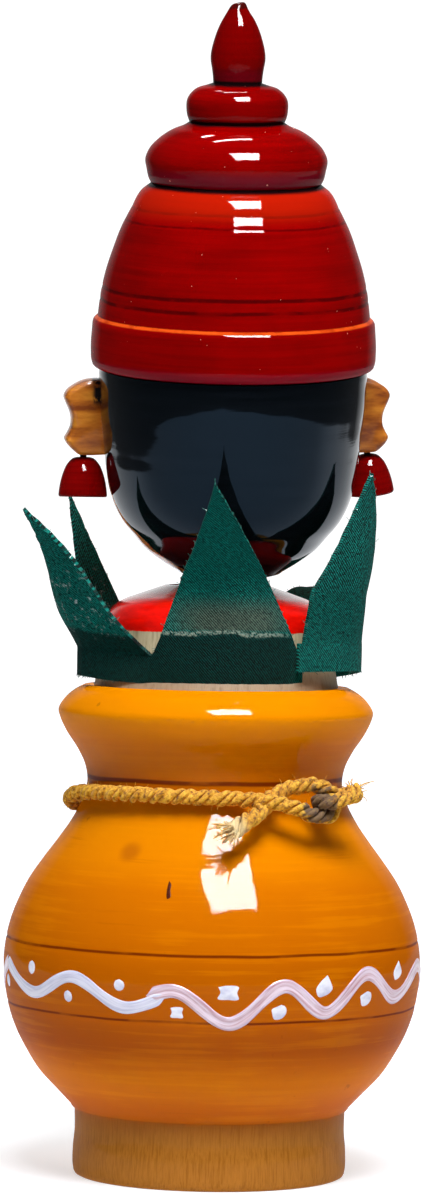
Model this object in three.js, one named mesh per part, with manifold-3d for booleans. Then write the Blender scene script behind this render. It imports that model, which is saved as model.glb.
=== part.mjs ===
// Turned and lacquered wooden pot doll with a bobbing head, in millimetres, +Z up.
// The origin is the centre of the foot's underside. The doll's face looks along +Y.
import * as THREE from "three";
import { mergeVertices } from "three/addons/utils/BufferGeometryUtils.js";
import Module from "manifold-3d";

const wasm = await Module();
wasm.setup();

// ---------- driving dimensions ----------
const GAP = 0.3; // clearance between pieces that touch or are glued
const TURNED_SIDES = 36; // facets round a large turned piece
const SMALL_SIDES = 16; // facets round a small turned piece

const RIM_TOP_Z = 75.2; // flat top of the pot's rim
const MOUTH_R = 17.7; // bore of the pot's mouth
const MOUTH_DEPTH = 9;

const PLUG_R = MOUTH_R - GAP; // shoulder plug, glued in the mouth
const PLUG_BARE_TOP_Z = 83.8; // bare wood ends here and the red dome begins
const SPRING_SOCKET_R = 7.5;
const PLUG_SOCKET_FLOOR_Z = 85.2;

const HEAD_PIVOT = new THREE.Vector3(1.8, 0, 92.5);
const HEAD_LEAN_DEG = 8.5; // the head rests leaning back on its spring
const HEAD_YAW_DEG = 10; // and turned a little to the doll's left
const HEAD_SOCKET_DEPTH = 7;
const HEAD_SHOULDER_Z = 31.7; // above the pivot, along the head's own axis
const CROWN_SPIGOT_R = 16;
const CROWN_SPIGOT_TOP_Z = 39.7;

const SPRING_COIL_R = 6.2; // to the middle of the wire
const SPRING_WIRE_R = 0.4;
const SPRING_LOW_Z = 85.95;
const SPRING_HIGH_Z = 98.6;
const SPRING_TURNS = 10;
const SPRING_STEPS_PER_TURN = 12;

const EAR_SIDE_Y = 4.6; // middle of the ear's thickness, ahead of the head's centre
const EAR_THICK = 4;
const EAR_DOWEL_R = 1;
const EAR_DOWEL_Z = 24;
const EAR_DOWEL_FROM = 15.5;
const EAR_DOWEL_TO = 22.8;

const EARRING_X = 22.2; // from the head's axis to the earring's pin
const EARRING_Y = 5;
const EARRING_PIVOT_Z = 17;
const PIN_SHANK_R = 0.5;

const COLLAR_INNER_R = PLUG_R + GAP;
const FELT_THICK = 1;
const COLLAR_BOTTOM_Z = 76;
const COLLAR_BAND_H = 4.3; // height of the band at the notches between leaves
const COLLAR_START_DEG = 44.5; // where the strip begins, and it runs clockwise from here
const NOTCHES_DEG = [42, -31, -100, -140, -193, -246, -319];
const STRIP_LAP_DEG = 3;

const ROPE_R = 1.5;
const ROPE_SIDES = 8;

// ---------- materials ----------
function paint(color, roughness, metalness = 0) {
  return new THREE.MeshStandardMaterial({ color, roughness, metalness });
}
const ORANGE_LACQUER = paint(0xe08a12, 0.25);
const RED_LACQUER = paint(0xb01010, 0.2);
const BLACK_LACQUER = paint(0x10151b, 0.12);
const BARE_WOOD = paint(0xc9a873, 0.6);
const FACE_PAINT = paint(0xd98a4a, 0.35);
const STEEL = paint(0x2b2a2a, 0.45, 1);
const FELT = paint(0x0b4740, 0.95);
const JUTE = paint(0xcf9c4f, 0.9);

// ---------- helpers ----------
const degrees = THREE.MathUtils.degToRad;
const object = new THREE.Group();

function piece(name, geometry, material, parent = object) {
  const mesh = new THREE.Mesh(geometry, material);
  mesh.name = name;
  parent.add(mesh);
  return mesh;
}

// A solid of revolution about Z. The profile lists [radius, z] from the bottom up the outside.
function turned(profile, sides = TURNED_SIDES) {
  const points = profile.map(([r, z]) => new THREE.Vector2(r, z));
  return new THREE.LatheGeometry(points, sides).rotateX(Math.PI / 2);
}

function toSolid(geometry) {
  const bare = geometry.clone();
  bare.deleteAttribute("normal");
  bare.deleteAttribute("uv");
  const merged = mergeVertices(bare, 1e-4);
  return new wasm.Manifold(
    new wasm.Mesh({
      numProp: 3,
      vertProperties: new Float32Array(merged.attributes.position.array),
      triVerts: new Uint32Array(merged.index.array),
    }),
  );
}

function toGeometry(solid) {
  const mesh = solid.getMesh();
  const geometry = new THREE.BufferGeometry();
  geometry.setAttribute("position", new THREE.BufferAttribute(mesh.vertProperties, 3));
  geometry.setIndex(new THREE.BufferAttribute(mesh.triVerts, 1));
  geometry.computeVertexNormals();
  return geometry;
}

function cut(body, ...tools) {
  return toGeometry(tools.reduce((solid, tool) => solid.subtract(toSolid(tool)), toSolid(body)));
}

// A closed tube of even-sided section along a curve.
function tube(curve, radius, steps, sides) {
  const section = new THREE.Shape(
    Array.from({ length: sides }, (_, i) => {
      const a = (2 * Math.PI * i) / sides;
      return new THREE.Vector2(radius * Math.cos(a), radius * Math.sin(a));
    }),
  );
  return new THREE.ExtrudeGeometry(section, { steps, extrudePath: curve });
}

// A point at a compass angle round the doll, counted from its back (-Y) towards +X.
function around(angleDeg, radius, z) {
  const a = degrees(angleDeg);
  return new THREE.Vector3(radius * Math.sin(a), -radius * Math.cos(a), z);
}

// ---------- pot ----------
const POT_PROFILE = [
  [0, 0],
  [20.3, 0],
  [20.9, 0.6],
  [21, 3.8],
  [20.75, 6.9],
  [20.9, 10.4],
  [21.5, 10.9],
  [23.6, 13.1],
  [26.4, 16.1],
  [28.4, 19.2],
  [30, 22.3],
  [31.1, 25.4],
  [31.75, 28.8],
  [32.05, 32.3],
  [31.75, 36],
  [31, 39.2],
  [29.8, 42.3],
  [28.3, 45.3],
  [26.2, 48.4],
  [23.9, 51.5],
  [21.8, 54.6],
  [20.3, 57.6],
  [19.6, 60.7],
  [20, 63],
  [21.1, 65.3],
  [23.1, 68.4],
  [24, 70.4],
  [24.2, 71.2],
  [23.3, 73],
  [21.6, 74.5],
  [20.3, RIM_TOP_Z],
  [MOUTH_R, RIM_TOP_Z],
  [MOUTH_R, RIM_TOP_Z - MOUTH_DEPTH],
  [0, RIM_TOP_Z - MOUTH_DEPTH],
];
piece("pot", turned(POT_PROFILE), ORANGE_LACQUER);

// ---------- shoulder plug, glued into the pot's mouth ----------
const PLUG_PROFILE = [
  [0, RIM_TOP_Z - MOUTH_DEPTH + GAP],
  [PLUG_R - GAP, RIM_TOP_Z - MOUTH_DEPTH + GAP],
  [PLUG_R, RIM_TOP_Z - MOUTH_DEPTH + 2 * GAP],
  [PLUG_R, PLUG_BARE_TOP_Z],
  [17.1, 85.6],
  [16.1, 87.2],
  [14.4, 88.4],
  [12.3, 89.2],
  [10.3, 89.9],
  [SPRING_SOCKET_R, 90.8],
  [SPRING_SOCKET_R, PLUG_SOCKET_FLOOR_Z],
  [0, PLUG_SOCKET_FLOOR_Z],
];
piece("shoulder_plug", turned(PLUG_PROFILE), BARE_WOOD);

// ---------- coil spring between the two sockets ----------
// Its middle line shifts sideways with the head, and its turns tilt into the head's socket.
class CoilCurve extends THREE.Curve {
  getPoint(t, target = new THREE.Vector3()) {
    const z = THREE.MathUtils.lerp(SPRING_LOW_Z, SPRING_HIGH_Z, t);
    const tilt = degrees(HEAD_LEAN_DEG) * THREE.MathUtils.smoothstep(z, 88, 94);
    const middleX = HEAD_PIVOT.x * THREE.MathUtils.smoothstep(z, 88, 96);
    const middleY = -Math.max(0, z - HEAD_PIVOT.z) * Math.sin(tilt);
    const turn = 2 * Math.PI * SPRING_TURNS * t;
    const coilY = SPRING_COIL_R * Math.sin(turn);
    return target.set(
      middleX + SPRING_COIL_R * Math.cos(turn),
      middleY + coilY * Math.cos(tilt),
      z + coilY * Math.sin(tilt),
    );
  }
}
const SPRING_STEPS = SPRING_TURNS * SPRING_STEPS_PER_TURN;
piece("neck_spring", tube(new CoilCurve(), SPRING_WIRE_R, SPRING_STEPS, 5), STEEL);

// ---------- head and crown, turned about the head's own leaning axis ----------
const headGroup = new THREE.Group();
headGroup.position.copy(HEAD_PIVOT);
headGroup.rotation.set(degrees(HEAD_LEAN_DEG), 0, degrees(HEAD_YAW_DEG));
object.add(headGroup);

const HEAD_PROFILE = [
  [0, HEAD_SOCKET_DEPTH],
  [SPRING_SOCKET_R, HEAD_SOCKET_DEPTH],
  [SPRING_SOCKET_R, 0.4],
  [8.4, 0.8],
  [10.6, 2.2],
  [13.3, 4.3],
  [15, 6.3],
  [16.7, 8.4],
  [17.9, 10.7],
  [18.65, 13],
  [19.2, 16],
  [19.6, 19.6],
  [20, 23.4],
  [20.35, 27],
  [20.5, HEAD_SHOULDER_Z - 0.6],
  [20.4, HEAD_SHOULDER_Z],
  [CROWN_SPIGOT_R, HEAD_SHOULDER_Z],
  [CROWN_SPIGOT_R, CROWN_SPIGOT_TOP_Z],
  [0, CROWN_SPIGOT_TOP_Z],
];

// The head's outside grown by the clearance, which cuts the ears and nose to its curve.
const HEAD_CLEARANCE_PROFILE = [
  [0, 6],
  ...HEAD_PROFILE.slice(6, 15).map(([r, z]) => [r + GAP, z]),
  [0, HEAD_SHOULDER_Z - 0.6],
];

// A round rod along X, from one distance from the head's axis to another.
function sidewaysRod(radius, from, to, side) {
  return new THREE.CylinderGeometry(radius, radius, to - from, 12)
    .rotateZ(Math.PI / 2)
    .translate((side * (from + to)) / 2, EAR_SIDE_Y, EAR_DOWEL_Z);
}

const SIDES = [
  ["left", -1],
  ["right", 1],
];
const dowelHoles = SIDES.map(([, side]) =>
  sidewaysRod(EAR_DOWEL_R + GAP, EAR_DOWEL_FROM - GAP, EAR_DOWEL_TO + GAP, side),
);
piece("head", cut(turned(HEAD_PROFILE), ...dowelHoles), BLACK_LACQUER, headGroup);

const CROWN_PROFILE = [
  [0, CROWN_SPIGOT_TOP_Z + GAP],
  [CROWN_SPIGOT_R + GAP, CROWN_SPIGOT_TOP_Z + GAP],
  [CROWN_SPIGOT_R + GAP, HEAD_SHOULDER_Z + GAP],
  [20.9, HEAD_SHOULDER_Z + GAP],
  [21.6, 32.8],
  [21.75, 34.6],
  [21.55, 38.6],
  [21.15, 39.4],
  [20.75, 39.8],
  [20.64, 40.8],
  [20.23, 43.8],
  [19.52, 46.9],
  [18.52, 50],
  [17.42, 53],
  [15.93, 56],
  [14.2, 59],
  [12.9, 60],
  [13.6, 62.1],
  [13.83, 63.6],
  [13.2, 65.2],
  [11.8, 66.7],
  [9.7, 68.1],
  [7.2, 69.3],
  [7.7, 71.2],
  [7.6, 72.7],
  [6.3, 74.3],
  [3.7, 75.2],
  [3.9, 77.2],
  [4.15, 78.8],
  [3.6, 81.9],
  [2.4, 84.8],
  [1.4, 86.4],
  [0.7, 87.2],
  [0, 87.3],
];
piece("crown", turned(CROWN_PROFILE), RED_LACQUER, headGroup);

// ---------- nose, a small carved wedge glued to the face ----------
const noseBlank = new THREE.SphereGeometry(1, 16, 12)
  .scale(1.9, 3.1, 3.7)
  .translate(0, 19.9, 18.6);
piece("nose", cut(noseBlank, turned(HEAD_CLEARANCE_PROFILE)), FACE_PAINT, headGroup);

// ---------- ears, sawn to a two-lobed outline ----------
const EAR_OUTLINE = [
  [17.5, 18.3],
  [22, 18.15],
  [23.2, 18.3],
  [24, 18.9],
  [24.8, 19.8],
  [25.1, 20.5],
  [24.7, 21.3],
  [24.2, 22.4],
  [24.1, 23.4],
  [24.2, 24.2],
  [24.6, 25.3],
  [25.1, 26.4],
  [25.25, 27],
  [24.9, 27.8],
  [23.8, 28.7],
  [22, 29.5],
  [20.5, 29.7],
  [17.5, 29.4],
];
const PIN_HOLE_R = PIN_SHANK_R + GAP;
const PIN_HOLE_TOP_Z = 22;

function earBlank(side) {
  const outline = new THREE.Shape(EAR_OUTLINE.map(([x, z]) => new THREE.Vector2(x, z)));
  const slab = new THREE.ExtrudeGeometry(outline, { depth: EAR_THICK, bevelEnabled: false })
    .rotateX(Math.PI / 2)
    .translate(0, EAR_SIDE_Y + EAR_THICK / 2, 0);
  return side < 0 ? slab.rotateZ(Math.PI).translate(0, 2 * EAR_SIDE_Y, 0) : slab;
}

function pinHole(side) {
  const depth = PIN_HOLE_TOP_Z - EARRING_PIVOT_Z;
  return new THREE.CylinderGeometry(PIN_HOLE_R, PIN_HOLE_R, depth, 12)
    .rotateX(Math.PI / 2)
    .translate(side * EARRING_X, EARRING_Y, EARRING_PIVOT_Z + depth / 2);
}

// ---------- earrings, hollow bells that hang loosely on headed pins ----------
const BELL_PROFILE = [
  [0.95, -0.6],
  [1.9, -0.9],
  [2.5, -2],
  [2.9, -3.8],
  [3.1, -5.5],
  [3.7, -5.5],
  [3.72, -5],
  [3.5, -3.4],
  [3.1, -1.9],
  [2.4, -0.4],
  [1.5, 0.45],
  [0.95, 0.6],
  [0.95, -0.6],
];
const PIN_PROFILE = [
  [0, -2],
  [1.2, -2],
  [1.2, -1.55],
  [PIN_SHANK_R, -1.4],
  [PIN_SHANK_R, 4.4],
  [0, 4.7],
];
const headTurn = new THREE.Quaternion().setFromEuler(headGroup.rotation);

for (const [label, side] of SIDES) {
  const dowelHole = sidewaysRod(EAR_DOWEL_R + GAP, EAR_DOWEL_FROM, EAR_DOWEL_TO + GAP, side);
  const ear = cut(earBlank(side), turned(HEAD_CLEARANCE_PROFILE), dowelHole, pinHole(side));
  piece(`ear_${label}`, ear, ORANGE_LACQUER, headGroup);
  const dowel = sidewaysRod(EAR_DOWEL_R, EAR_DOWEL_FROM, EAR_DOWEL_TO, side);
  piece(`ear_dowel_${label}`, dowel, BARE_WOOD, headGroup);

  const hanger = new THREE.Group();
  hanger.position.set(side * EARRING_X, EARRING_Y, EARRING_PIVOT_Z);
  headGroup.add(hanger);
  piece(`earring_pin_${label}`, turned(PIN_PROFILE, 12), STEEL, hanger);
  const bell = piece(`earring_${label}`, turned(BELL_PROFILE, SMALL_SIDES), RED_LACQUER, hanger);
  if (side < 0) {
    bell.quaternion.copy(headTurn).invert(); // the left bell hangs plumb
  } else {
    bell.rotation.y = degrees(-6); // the right bell is stuck a little outwards
  }
}

// ---------- leaf collar, one felt strip wrapped round the plug ----------
// Leaves run clockwise between the notches. leans lists [height above the notches, degrees
// outwards from upright], and drift lists [height, degrees round the doll] for the leaf's middle.
// hollow above 1 draws the leaf's cut edges in.
const LEAVES = [
  // at the back, creased where it leaves the plug's edge
  {
    length: 30.6,
    hollow: 1.2,
    drift: [[0, 0], [32, -7]],
    leans: [[0, 12], [3, 14], [4.1, -10], [8, 0], [12, 28], [16, 40], [32, 42]],
  },
  {
    length: 24.6,
    hollow: 1.35,
    drift: [[0, 0], [25, -2]],
    leans: [[0, 26], [4, 32], [8, 19], [14, 24], [19, 38], [25, 43]],
  },
  {
    length: 26.4,
    hollow: 1.25,
    drift: [[0, 0], [27, -9.5]],
    leans: [[0, 22], [8.9, 26], [17.7, 28], [26.6, 30]],
  },
  // two leaves folded down over the chest
  {
    length: 22,
    hollow: 1.1,
    drift: [[0, 0], [25, 0]],
    leans: [[0, 25], [5, 70], [11, 145], [22, 150]],
  },
  {
    length: 24,
    hollow: 1.1,
    drift: [[0, 0], [25, 0]],
    leans: [[0, 15], [8.9, 38], [16, 138], [25, 146]],
  },
  {
    length: 26.2,
    hollow: 1.05,
    drift: [[0, 0], [8, -14], [26, -16]],
    leans: [[0, 6], [5, 14], [11, 12], [17, 4], [26, 10]],
  },
];
const BAND_TUCK_DEG = 12; // the band at the back slopes in towards its hem
const BAND_TUCK_REACH_DEG = 30; // how far round the back it does so
const BAND_TUCK_FADE_DEG = 8;
const BACK_LEAF_DEG = 4; // the middle of the back leaf's band
const COLUMNS_PER_LEAF = 6;
const COLLAR_ROWS = 10;
const FELT_SLICE = 0.5; // step of the walk up the cloth
const COLLAR_COLUMNS = COLUMNS_PER_LEAF * LEAVES.length + 2;

function columnAngle(column) {
  if (column === 0) return COLLAR_START_DEG;
  if (column === COLLAR_COLUMNS) return NOTCHES_DEG[LEAVES.length] - STRIP_LAP_DEG;
  const index = Math.min(Math.floor((column - 1) / COLUMNS_PER_LEAF), LEAVES.length - 1);
  const across = (column - 1) / COLUMNS_PER_LEAF - index;
  return THREE.MathUtils.lerp(NOTCHES_DEG[index], NOTCHES_DEG[index + 1], across);
}

// The value at a height in a list of [height, value].
function valueAt(stops, height) {
  const above = stops.findIndex(([stop]) => stop > height);
  if (above < 1) return stops[stops.length - 1][1];
  const [[lowStop, low], [highStop, high]] = stops.slice(above - 1, above + 1);
  return THREE.MathUtils.lerp(low, high, (height - lowStop) / (highStop - lowStop));
}

function bulge(angleDeg, middle, width) {
  return Math.exp(-(((angleDeg - middle) / width) ** 2));
}

// The strip bulges off the plug at both sides, and its loose end lifts and lies over the start.
// Each bulge is centred on a compass angle; out and up are how far it moves the cloth.
const LEFT_BULGE = { at: -84, width: 26, out: 3, up: 0.7 };
const RIGHT_BULGE = { at: -276, width: 24, out: 3.6 };
const LOOSE_END = { out: 1.5, outFrom: -262, outTo: -317, up: 2.1, upFrom: -230, upTo: -290 };

function looseness(angleDeg) {
  const left = bulge(angleDeg, LEFT_BULGE.at, LEFT_BULGE.width);
  const right = bulge(angleDeg, RIGHT_BULGE.at, RIGHT_BULGE.width);
  const lap = 1 - THREE.MathUtils.smoothstep(angleDeg, LOOSE_END.outTo, LOOSE_END.outFrom);
  const lifted = 1 - THREE.MathUtils.smoothstep(angleDeg, LOOSE_END.upTo, LOOSE_END.upFrom);
  return {
    out: LEFT_BULGE.out * left + RIGHT_BULGE.out * right + LOOSE_END.out * lap,
    up: LEFT_BULGE.up * left + LOOSE_END.up * lifted,
  };
}

// How far the felt leans outwards at a height above the notches, in radians.
function feltLean(leaf, climb, angleDeg) {
  if (climb >= 0) return degrees(valueAt(leaf.leans, climb));
  const offBack = Math.max(0, Math.abs(angleDeg - BACK_LEAF_DEG) - BAND_TUCK_REACH_DEG);
  return degrees(BAND_TUCK_DEG * bulge(offBack, 0, BAND_TUCK_FADE_DEG));
}

// A point of the felt, at a column's angle, a share of the leaf's height and a depth in the cloth.
function feltPoint(column, heightShare, depth) {
  const angle = columnAngle(column);
  const lastColumn = COLUMNS_PER_LEAF * LEAVES.length;
  const along = Math.min(Math.max(column - 1, 0), lastColumn);
  const index = Math.min(Math.floor(along / COLUMNS_PER_LEAF), LEAVES.length - 1);
  const leaf = LEAVES[index];
  const across = along / COLUMNS_PER_LEAF - index; // 0 at one notch, 1 at the next
  const peak = (1 - Math.abs(2 * across - 1)) ** leaf.hollow;
  const height = heightShare * (COLLAR_BAND_H + leaf.length * peak);
  const { out, up } = looseness(angle);
  let r = COLLAR_INNER_R + FELT_THICK / 2 + out;
  let z = COLLAR_BOTTOM_Z + up;
  let rootR = r;
  let lean = feltLean(leaf, -COLLAR_BAND_H, angle);
  const slices = Math.ceil(height / FELT_SLICE);
  const slice = slices > 0 ? height / slices : 0;
  for (let i = 0; i < slices; i += 1) {
    const climb = (i + 0.5) * slice - COLLAR_BAND_H;
    lean = feltLean(leaf, climb, angle);
    r += slice * Math.sin(lean);
    z += slice * Math.cos(lean);
    if (climb < 0) rootR = r;
  }
  const climb = Math.max(0, height - COLLAR_BAND_H);
  const offset = depth * FELT_THICK;
  r += offset * Math.cos(lean);
  z -= offset * Math.sin(lean);
  const middle = (NOTCHES_DEG[index] + NOTCHES_DEG[index + 1]) / 2;
  // Leaves are flat-cut, so they don't widen as they lean outwards.
  const spread = middle + (angle - middle) * (climb > 0 ? Math.min(1, rootR / r) : 1);
  return around(spread + valueAt(leaf.drift, climb), r, z);
}

const collar = new THREE.BoxGeometry(1, 1, 1, COLLAR_COLUMNS, 1, COLLAR_ROWS);
const collarPoints = collar.attributes.position;
for (let i = 0; i < collarPoints.count; i += 1) {
  const column = Math.round((collarPoints.getX(i) + 0.5) * COLLAR_COLUMNS);
  const point = feltPoint(column, collarPoints.getZ(i) + 0.5, collarPoints.getY(i));
  collarPoints.setXYZ(i, point.x, point.y, point.z);
}
piece("leaf_collar", collar, FELT);

// ---------- rope tied round the neck ----------
// The loop sits level at the doll's back and sags over its left side and chest.
// Each entry is [angle from the back, distance from the axis, height].
const ROPE_LOOP = [
  [27.5, 21.7, 59.2],
  [20, 21.65, 59.2],
  [0, 21.65, 59.3],
  [-20, 21.65, 59.4],
  [-40, 21.65, 59.4],
  [-60, 21.65, 59.2],
  [-78, 21.8, 58.6],
  [-94, 22.3, 57.4],
  [-110, 22.9, 56.4],
  [-130, 23.3, 55.8],
  [-155, 23.3, 55.8],
  [-180, 23, 56.2],
  [-205, 22.6, 56.8],
  [-230, 22.2, 57.6],
  [-255, 21.9, 58.3],
  [-278, 21.75, 58.9],
  [-298, 21.7, 59.2],
  [-308.5, 21.7, 59.2],
];
const loopPoints = ROPE_LOOP.map(([angle, r, z]) => around(angle, r, z));
const loopCurve = new THREE.CatmullRomCurve3(loopPoints);
piece("rope_loop", tube(loopCurve, ROPE_R, 42, ROPE_SIDES), JUTE);

const KNOT_ANGLE = 38.5;
const KNOT_MIDDLE_R = 24.2;
const KNOT_MIDDLE_Z = 59;
const KNOT_HALF_SIZE = [3.9, 2.9, 3.6]; // round the doll, outwards and up
const knot = new THREE.SphereGeometry(1, 14, 10)
  .scale(...KNOT_HALF_SIZE)
  .rotateZ(degrees(KNOT_ANGLE));
const knotPiece = piece("rope_knot", knot, JUTE);
knotPiece.position.copy(around(KNOT_ANGLE, KNOT_MIDDLE_R, KNOT_MIDDLE_Z));

const longTailCurve = new THREE.CatmullRomCurve3([
  around(27.5, 25.6, 57.6),
  around(22, 25.6, 57.2),
  around(16.5, 25.8, 56.6),
  around(10.5, 26.4, 55.6),
  around(5, 27.1, 54.5),
]);
piece("rope_tail_long", tube(longTailCurve, ROPE_R, 8, ROPE_SIDES), JUTE);

const shortTailCurve = new THREE.CatmullRomCurve3([
  around(49, 25.8, 59.6),
  around(51, 25.9, 60),
  around(53, 25.8, 60.4),
  around(55, 25.6, 60.8),
]);
piece("rope_tail_short", tube(shortTailCurve, ROPE_R - 0.1, 4, ROPE_SIDES), JUTE);

export default object;
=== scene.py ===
import math
import random

import bpy
import numpy as np
from mathutils import Euler, Matrix, Vector


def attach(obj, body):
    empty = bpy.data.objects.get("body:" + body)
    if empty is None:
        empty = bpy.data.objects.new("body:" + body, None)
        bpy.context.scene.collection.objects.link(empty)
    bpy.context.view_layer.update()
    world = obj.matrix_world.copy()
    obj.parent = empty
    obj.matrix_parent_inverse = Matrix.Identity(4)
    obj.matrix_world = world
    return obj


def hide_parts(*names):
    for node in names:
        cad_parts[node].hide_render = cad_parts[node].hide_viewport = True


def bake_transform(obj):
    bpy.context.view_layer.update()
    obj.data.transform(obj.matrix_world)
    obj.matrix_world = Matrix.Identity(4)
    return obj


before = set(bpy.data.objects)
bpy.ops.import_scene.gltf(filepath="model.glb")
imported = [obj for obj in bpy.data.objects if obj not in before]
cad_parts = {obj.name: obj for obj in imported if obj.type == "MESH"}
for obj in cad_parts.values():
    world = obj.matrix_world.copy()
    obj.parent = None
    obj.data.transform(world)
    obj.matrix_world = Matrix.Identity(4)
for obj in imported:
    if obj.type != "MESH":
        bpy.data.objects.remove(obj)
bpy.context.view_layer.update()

# The doll's face looks along +Y.
MM = 0.001
TURN = 2 * math.pi
random.seed(11)


def placed(name, data):
    """A new object, linked to the scene."""
    made = bpy.data.objects.new(name, data)
    bpy.context.scene.collection.objects.link(made)
    return made


# ---------- camera, level with the head and behind the doll ----------
CAMERA_AT = Vector((-0.7, -775, 107.7)) * MM
CAMERA_TARGET = Vector((-0.7, 0, 88.4)) * MM
CAMERA_ROLL = math.radians(0.9)
CAMERA_LENS = 151.3


def add_camera():
    data = bpy.data.cameras.new("camera")
    data.lens = CAMERA_LENS
    data.clip_start = 0.01
    camera = placed("camera", data)
    forward = (CAMERA_TARGET - CAMERA_AT).normalized()
    level = forward.cross(Vector((0, 0, 1))).normalized()
    upright = level.cross(forward)
    right = math.cos(CAMERA_ROLL) * level + math.sin(CAMERA_ROLL) * upright
    up = math.cos(CAMERA_ROLL) * upright - math.sin(CAMERA_ROLL) * level
    matrix = Matrix((right, up, -forward)).transposed().to_4x4()
    matrix.translation = CAMERA_AT
    camera.matrix_world = matrix
    bpy.context.scene.camera = camera


# ---------- curves and meshes ----------
def travelled(line):
    """The distance along a line at each of its points."""
    return np.concatenate([[0], np.cumsum(np.linalg.norm(np.diff(line, axis=0), axis=1))])


def curve(points, step):
    """A smooth line through the points, sampled evenly at about that step."""
    p = np.array(points, float)
    h = np.linalg.norm(np.diff(p, axis=0), axis=1)
    slope = np.diff(p, axis=0) / h[:, None]
    tangent = np.empty_like(p)
    tangent[0], tangent[-1] = slope[0], slope[-1]
    before, after = h[:-1, None], h[1:, None]
    tangent[1:-1] = (slope[:-1] * after + slope[1:] * before) / (before + after)
    t = np.linspace(0, 1, 24, endpoint=False)[None, :, None]
    span = h[:, None, None]
    line = (
        (2 * t**3 - 3 * t**2 + 1) * p[:-1, None]
        + (t**3 - 2 * t**2 + t) * span * tangent[:-1, None]
        + (3 * t**2 - 2 * t**3) * p[1:, None]
        + (t**3 - t**2) * span * tangent[1:, None]
    ).reshape(-1, p.shape[1])
    line = np.vstack([line, p[-1:]])
    place = travelled(line)
    even = np.linspace(0, place[-1], max(2, round(place[-1] / step) + 1))
    return np.column_stack([np.interp(even, place, line[:, i]) for i in range(p.shape[1])])


def smoothstep(x, low, high):
    t = np.clip((x - low) / (high - low), 0, 1)
    return t * t * (3 - 2 * t)


def around(angle, r, z):
    """A point in mm at a compass angle round the doll, from its back (-Y) towards +X."""
    a = math.radians(angle)
    return np.array([r * math.sin(a), -r * math.cos(a), z])


def mesh_object(name, points, faces, material, sharp=80):
    mesh = bpy.data.meshes.new(name)
    mesh.from_pydata((np.asarray(points, float) * MM).tolist(), [], [tuple(f) for f in faces])
    mesh.materials.append(material)
    mesh.update()
    mesh.shade_smooth()
    mesh.set_sharp_from_angle(angle=math.radians(sharp))
    return placed(name, mesh)


def grid_faces(rows, columns, first=0, wrap=False):
    """Quads over a grid of rows by columns of points; wrap joins the last column to the first."""
    faces = []
    for i in range(rows - 1):
        for j in range(columns if wrap else columns - 1):
            k = (j + 1) % columns
            a, b = first + i * columns, first + (i + 1) * columns
            faces.append((a + j, a + k, b + k, b + j))
    return faces


def closed_faces(rings, sides):
    """Quads round a stack of rings, and one face over each end."""
    last = (rings - 1) * sides
    ends = [tuple(reversed(range(sides))), tuple(last + j for j in range(sides))]
    return grid_faces(rings, sides, wrap=True) + ends


def lay_out(made, name, flat):
    """A UV map from the flat place of each point. A second side repeats the first."""
    layer = made.data.uv_layers.new(name=name)
    for loop in made.data.loops:
        layer.data[loop.index].uv = flat[loop.vertex_index % len(flat)]


CORE_R = 3  # grooves are only cut outside this radius


def turned(name, runs, material, sides=128, step=0.5, grooves=(), wobble=None):
    """A turned piece. Each run of [r, z] points goes on smoothly from a corner at the last one's end."""
    later = [curve([before[-1], *run], step)[1:] for before, run in zip(runs, runs[1:])]
    profile = np.vstack([curve(runs[0], step), *later])
    outer = profile[:, 0] > CORE_R
    for z, depth, width in grooves:
        profile[:, 0] -= outer * depth * np.exp(-(((profile[:, 1] - z) / width) ** 2))
    closed = np.allclose(profile[0], profile[-1])
    if closed:
        profile = profile[:-1]
    poles = [] if closed else [profile[0], profile[-1]]
    rings = profile if closed else profile[1:-1]
    a = np.arange(sides) * TURN / sides
    r, z = rings[:, 0][:, None], rings[:, 1][:, None]
    points = np.stack([r * np.sin(a), -r * np.cos(a), z + 0 * a], axis=2).reshape(-1, 3)
    faces = grid_faces(len(rings), sides, wrap=True)
    count = len(rings) * sides
    if closed:
        last = count - sides
        faces += [(last + j, last + (j + 1) % sides, (j + 1) % sides, j) for j in range(sides)]
    else:
        points = np.vstack([points] + [[0, 0, pole[1]] for pole in poles])
        top = count - sides
        faces += [(count, (j + 1) % sides, j) for j in range(sides)]
        faces += [(count + 1, top + j, top + (j + 1) % sides) for j in range(sides)]
    if wobble:
        points = wobble(points)
    return mesh_object(name, points, faces, material, 40)


def frames(line):
    """Tangent and two steady normals at each point of a line."""
    tangent = np.gradient(line, axis=0)
    tangent /= np.linalg.norm(tangent, axis=1)[:, None]
    seed = np.array([0.0, 0, 1]) if abs(tangent[0][2]) < 0.9 else np.array([1.0, 0, 0])
    normals = []
    for t in tangent:
        seed = seed - t * seed.dot(t)
        seed /= np.linalg.norm(seed)
        normals.append(seed)
    normals = np.array(normals)
    return tangent, normals, np.cross(tangent, normals)


def across_of(line):
    """Directions along a flat line, and square to it on its left."""
    heading = np.gradient(line, axis=0)
    heading /= np.linalg.norm(heading, axis=1)[:, None]
    return heading, np.column_stack([-heading[:, 1], heading[:, 0]])


def tube(line, radius, sides):
    """A closed tube along a line of points in mm; radius is a number or one for each point."""
    line = np.asarray(line, float)
    _, n, b = frames(line)
    r = (np.ones(len(line)) * radius)[:, None, None]
    a = (np.arange(sides) * TURN / sides)[None, :, None]
    ring = n[:, None] * np.cos(a) + b[:, None] * np.sin(a)
    return (line[:, None] + r * ring).reshape(-1, 3), closed_faces(len(line), sides)


def joined(name, parts, material):
    """Several closed parts in one mesh, each given as its points and faces."""
    points, faces, first = [], [], 0
    for p, f in parts:
        points += list(p)
        faces += [tuple(first + i for i in face) for face in f]
        first += len(p)
    return mesh_object(name, points, faces, material)


def bundle(name, strands, material, sides):
    """Many tubes in one mesh; each strand is a line and its radius."""
    return joined(name, [tube(line, radius, sides) for line, radius in strands], material)


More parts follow.
